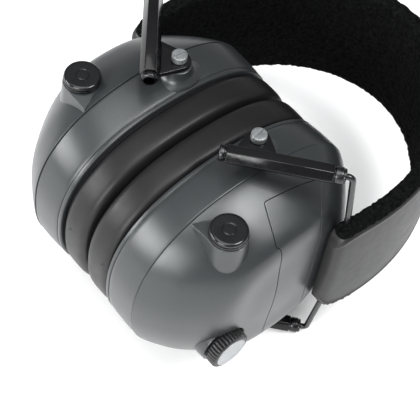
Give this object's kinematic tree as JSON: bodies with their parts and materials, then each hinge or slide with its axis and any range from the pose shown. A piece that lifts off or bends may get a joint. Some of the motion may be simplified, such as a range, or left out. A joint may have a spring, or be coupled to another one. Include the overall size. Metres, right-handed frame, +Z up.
{
  "type": "earmuff hearing protector",
  "caption": "Folding electronic earmuff: two oval cups face to face on wire frames that swing and slide from a padded arched headband.",
  "frame": {"origin": "on the table, under the middle of the whole folded object as it lies on its back", "axes": "+X towards the wearer's left ear, +Y towards the crown of the headband, +Z up, the front of the head"},
  "size_m": [0.126, 0.1652, 0.1103],
  "materials": {
    "leatherette": "satin",
    "fleece": "matte",
    "foam": "matte",
    "spring_steel": "satin",
    "black_plastic": "matte",
    "knob_black": "satin",
    "knob_grey": "satin",
    "black_wire": "gloss",
    "slug_plastic": "matte",
    "slider_black": "gloss",
    "dark_chrome": "polished",
    "shell_grey": "satin",
    "cushion_vinyl": "satin",
    "pin_steel": "satin",
    "mic_black": "gloss",
    "board_green": "satin",
    "battery_jacket": "satin",
    "speaker_metal": "satin"
  },
  "bodies": {
    "headband": {"headband_cover": "leatherette", "headband_lining": "fleece", "headband_foam": "foam", "spring_strip": "spring_steel", "left_hinge_block": "black_plastic", "right_hinge_block": "black_plastic"},
    "left_frame": {"left_wire_frame": "black_wire", "left_wire_stops": "slug_plastic"},
    "left_sliders": {"left_front_slider": "slider_black", "left_rear_slider": "slider_black", "left_slider_collars": "dark_chrome", "left_slider_end_rings": "dark_chrome"},
    "left_cup": {"left_ring_shell": "shell_grey", "left_dome": "shell_grey", "left_cushion_plate": "black_plastic", "left_ear_cushion": "cushion_vinyl", "left_ear_foam": "foam", "left_speaker_baffle": "black_plastic", "left_speaker": "speaker_metal", "left_mic_element": "mic_black", "left_mic_cap": "mic_black", "left_pivot_pins": "pin_steel", "left_circuit_board": "board_green", "left_shell_screws": "pin_steel", "battery_tray": "black_plastic", "batteries": "battery_jacket", "battery_contacts": "pin_steel", "volume_control": "black_plastic"},
    "right_frame": {"right_wire_frame": "black_wire", "right_wire_stops": "slug_plastic"},
    "right_sliders": {"right_front_slider": "slider_black", "right_rear_slider": "slider_black", "right_slider_collars": "dark_chrome", "right_slider_end_rings": "dark_chrome"},
    "right_cup": {"right_ring_shell": "shell_grey", "right_dome": "shell_grey", "right_cushion_plate": "black_plastic", "right_ear_cushion": "cushion_vinyl", "right_ear_foam": "foam", "right_speaker_baffle": "black_plastic", "right_speaker": "speaker_metal", "right_mic_element": "mic_black", "right_mic_cap": "mic_black", "right_pivot_pins": "pin_steel", "right_circuit_board": "board_green", "right_shell_screws": "pin_steel"},
    "battery_door": {"battery_door": "shell_grey"},
    "volume_knob": {"volume_knob": "knob_black", "knob_face": "knob_grey"}
  },
  "joints": [
    {"name": "left_fold", "type": "hinge", "parent": "headband", "child": "left_frame", "pos_m": [0.0558, -0.00905, 0.05515], "axis": [0, 0, 1], "range_deg": [0, 60]},
    {"name": "left_slide", "type": "slide", "parent": "left_frame", "child": "left_sliders", "axis": [-0.7581, -0.6521, 0], "range_m": [0, 0.0274]},
    {"name": "left_cup_pivot", "type": "hinge", "parent": "left_sliders", "child": "left_cup", "pos_m": [0.0216, -0.0249, 0.05515], "axis": [0, 0, -1], "range_deg": [0, 60.1]},
    {"name": "right_fold", "type": "hinge", "parent": "headband", "child": "right_frame", "pos_m": [-0.0558, -0.00905, 0.05515], "axis": [0, 0, -1], "range_deg": [0, 60]},
    {"name": "right_slide", "type": "slide", "parent": "right_frame", "child": "right_sliders", "axis": [0.7581, -0.6521, 0], "range_m": [0, 0.0274]},
    {"name": "right_cup_pivot", "type": "hinge", "parent": "right_sliders", "child": "right_cup", "pos_m": [-0.0216, -0.0249, 0.05515], "axis": [0, 0, 1], "range_deg": [0, 60.1]},
    {"name": "volume_turn", "type": "hinge", "parent": "left_cup", "child": "volume_knob", "pos_m": [0.054, -0.0579, 0.04015], "axis": [1, 0, 0], "range_deg": [0, 270]},
    {"name": "battery_door_lift", "type": "slide", "parent": "left_cup", "child": "battery_door", "axis": [1, 0, 0], "range_m": [0, 0.012]}
  ],
  "couplings": [
    {"joint": "left_slide", "follows": "left_fold", "m_per_rad": 0.026},
    {"joint": "left_cup_pivot", "follows": "left_fold", "ratio": 1},
    {"joint": "right_slide", "follows": "right_fold", "m_per_rad": 0.026},
    {"joint": "right_cup_pivot", "follows": "right_fold", "ratio": 1}
  ]
}
